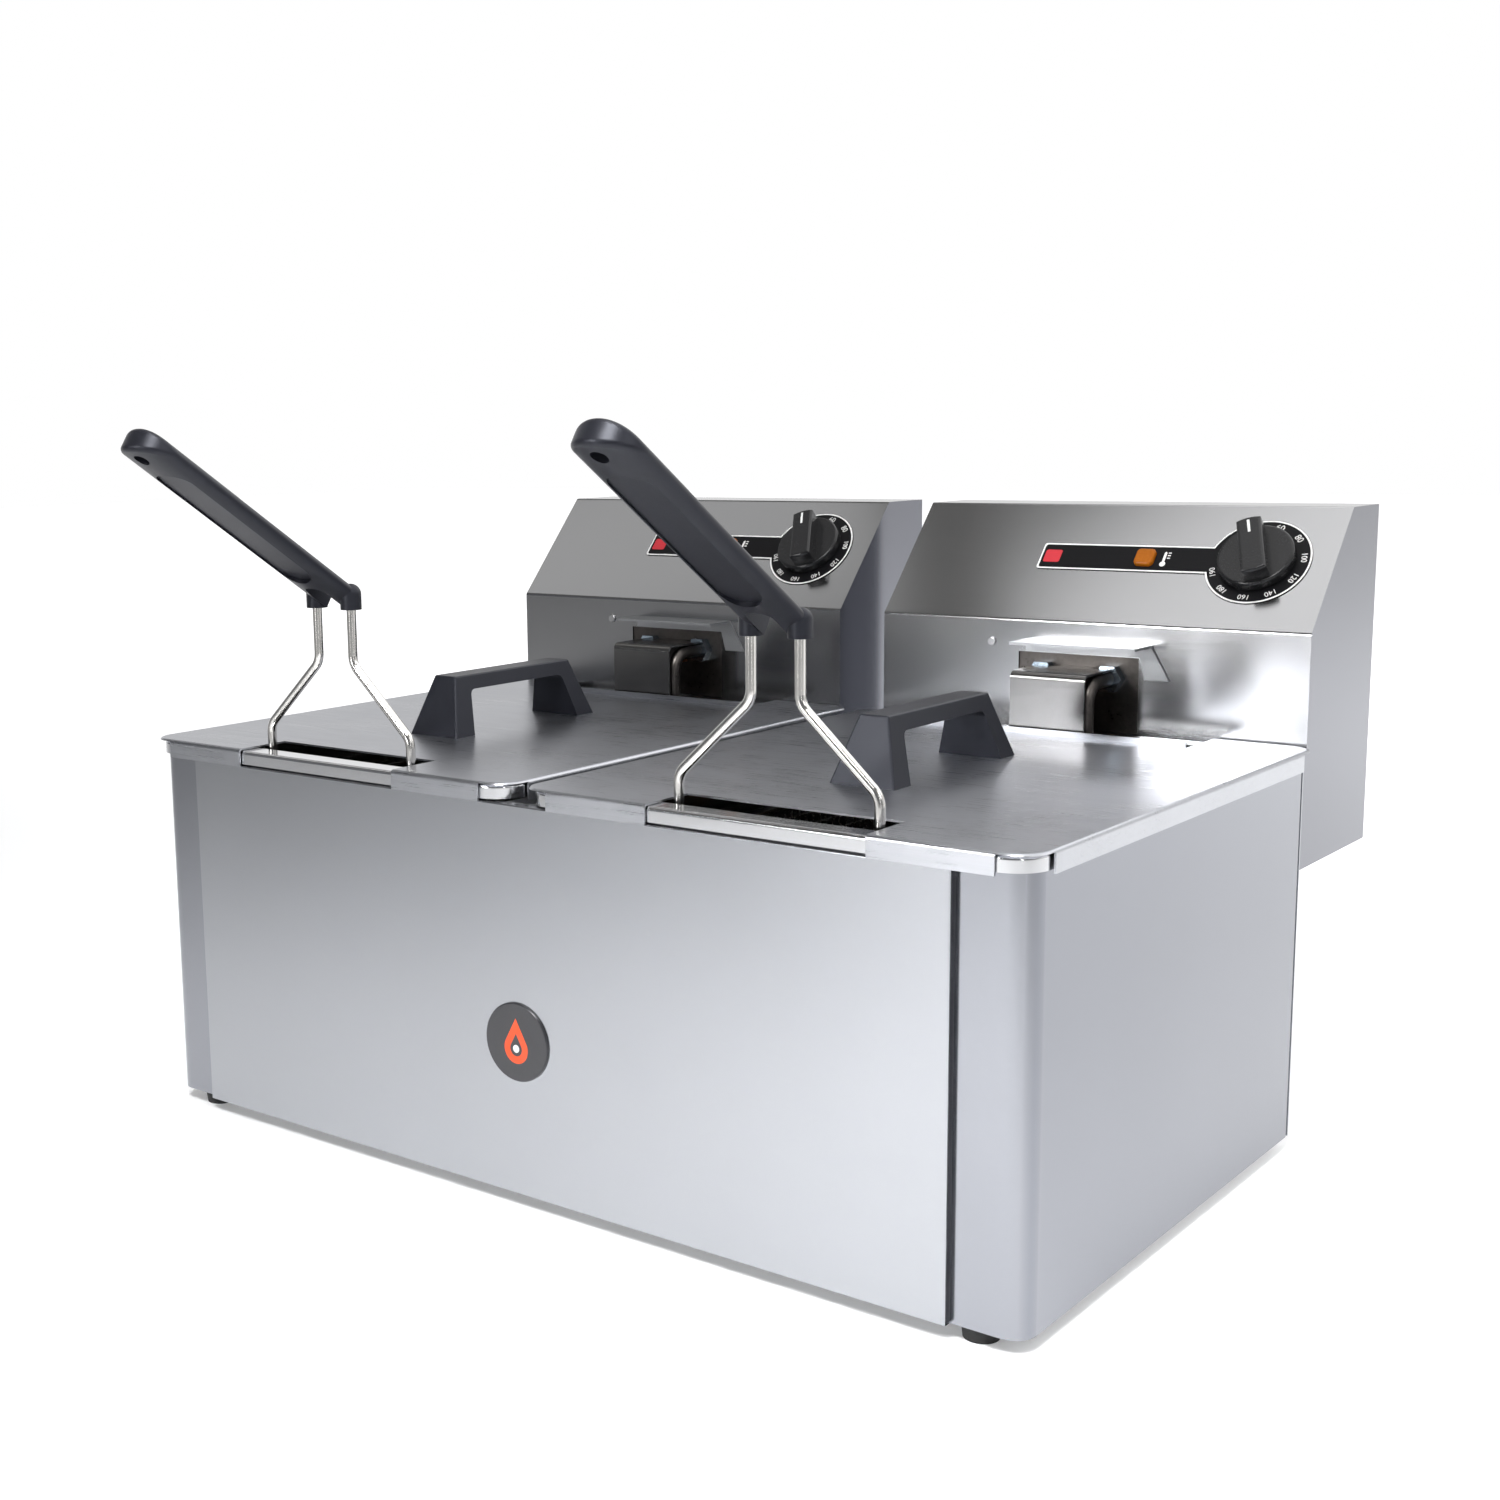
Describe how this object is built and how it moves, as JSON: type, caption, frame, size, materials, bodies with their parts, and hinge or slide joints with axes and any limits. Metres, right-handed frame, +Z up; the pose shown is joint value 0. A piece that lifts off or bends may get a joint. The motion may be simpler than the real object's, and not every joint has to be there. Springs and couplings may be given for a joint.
{
  "type": "twin-tank countertop deep fryer",
  "caption": "Stainless twin-tank countertop deep fryer with lift-off lids, wire baskets with forked grips, and lift-off control heads with dials and heating elements.",
  "frame": {"origin": "on the floor under the middle of the whole fryer, basket grips and heads included", "axes": "+X to the right seen from the front, +Y to the back, +Z up; the front panel faces -Y"},
  "size_m": [0.552, 0.5286, 0.388],
  "materials": {
    "stainless": "brushed",
    "polished_steel": "polished",
    "basket_wire": "satin plated",
    "grip_plastic": "satin",
    "black_plastic": "satin",
    "knob_plastic": "satin",
    "label_black": "printed",
    "badge_black": "gloss",
    "lamp_amber": "clear amber",
    "rubber": "matte",
    "element_steel": "satin, heat darkened",
    "zinc": "zinc plated",
    "copper": "satin",
    "screw_steel": "satin",
    "bakelite": "matte",
    "terminal_white": "matte",
    "reset_red": "gloss"
  },
  "bodies": {
    "casing": {"base_pan": "stainless", "front_panel": "stainless", "left_side_wrap": "stainless", "right_side_wrap": "stainless", "rear_panel": "stainless", "top_rails": "stainless", "head_supports": "stainless", "feet": "rubber", "badge": "badge_black", "casing_screws": "screw_steel"},
    "left_tank": {"left_tank": "polished_steel"},
    "left_head": {"left_head_housing": "stainless", "left_head_back_cover": "stainless", "left_head_screws": "screw_steel", "left_element_cover": "stainless", "left_basket_hanger": "stainless", "left_heating_element": "element_steel", "left_element_nuts": "zinc", "left_sensor_bulbs": "copper", "left_thermostat": "bakelite", "left_control_label": "label_black", "left_pilot_lamp": "lamp_amber", "left_safety_cutout": "bakelite", "left_terminal_block": "terminal_white", "left_cable_gland": "black_plastic"},
    "left_basket": {"left_basket_net": "basket_wire", "left_basket_frame": "basket_wire", "left_basket_stem": "basket_wire", "left_basket_grip": "grip_plastic"},
    "left_lid": {"left_lid": "stainless", "left_lid_handle": "black_plastic", "left_lid_handle_screws": "screw_steel"},
    "left_knob": {"left_knob_shaft": "screw_steel", "left_knob": "knob_plastic"},
    "left_reset": {"left_reset_button": "reset_red"},
    "right_tank": {"right_tank": "polished_steel"},
    "right_head": {"right_head_housing": "stainless", "right_head_back_cover": "stainless", "right_head_screws": "screw_steel", "right_element_cover": "stainless", "right_basket_hanger": "stainless", "right_heating_element": "element_steel", "right_element_nuts": "zinc", "right_sensor_bulbs": "copper", "right_thermostat": "bakelite", "right_control_label": "label_black", "right_pilot_lamp": "lamp_amber", "right_safety_cutout": "bakelite", "right_terminal_block": "terminal_white", "right_cable_gland": "black_plastic"},
    "right_basket": {"right_basket_net": "basket_wire", "right_basket_frame": "basket_wire", "right_basket_stem": "basket_wire", "right_basket_grip": "grip_plastic"},
    "right_lid": {"right_lid": "stainless", "right_lid_handle": "black_plastic", "right_lid_handle_screws": "screw_steel"},
    "right_knob": {"right_knob_shaft": "screw_steel", "right_knob": "knob_plastic"},
    "right_reset": {"right_reset_button": "reset_red"}
  },
  "joints": [
    {"name": "left_tank_lift", "type": "slide", "parent": "casing", "child": "left_tank", "axis": [0, 0, 1], "range_m": [0, 0.2]},
    {"name": "left_head_lift", "type": "slide", "parent": "left_tank", "child": "left_head", "axis": [0, 0, 1], "range_m": [0, 0.2]},
    {"name": "left_basket_lift", "type": "slide", "parent": "left_head", "child": "left_basket", "axis": [0, 0, 1], "range_m": [0, 0.2]},
    {"name": "left_lid_lift", "type": "slide", "parent": "left_basket", "child": "left_lid", "axis": [0, 0, 1], "range_m": [0, 0.2]},
    {"name": "left_knob_turn", "type": "hinge", "parent": "left_head", "child": "left_knob", "pos_m": [-0.05625, 0.19515, 0.30711], "axis": [0, 0.7415, -0.6709], "range_deg": [0, 270]},
    {"name": "left_reset_press", "type": "slide", "parent": "left_head", "child": "left_reset", "axis": [0, 0, 1], "range_m": [0, 0.002], "stiffness_N_per_m": 1500, "springref_m": -0.001},
    {"name": "right_tank_lift", "type": "slide", "parent": "casing", "child": "right_tank", "axis": [0, 0, 1], "range_m": [0, 0.2]},
    {"name": "right_head_lift", "type": "slide", "parent": "right_tank", "child": "right_head", "axis": [0, 0, 1], "range_m": [0, 0.2]},
    {"name": "right_basket_lift", "type": "slide", "parent": "right_head", "child": "right_basket", "axis": [0, 0, 1], "range_m": [0, 0.2]},
    {"name": "right_lid_lift", "type": "slide", "parent": "right_basket", "child": "right_lid", "axis": [0, 0, 1], "range_m": [0, 0.2]},
    {"name": "right_knob_turn", "type": "hinge", "parent": "right_head", "child": "right_knob", "pos_m": [0.22825, 0.19515, 0.30711], "axis": [0, 0.7415, -0.6709], "range_deg": [0, 270]},
    {"name": "right_reset_press", "type": "slide", "parent": "right_head", "child": "right_reset", "axis": [0, 0, 1], "range_m": [0, 0.002], "stiffness_N_per_m": 1500, "springref_m": -0.001}
  ]
}
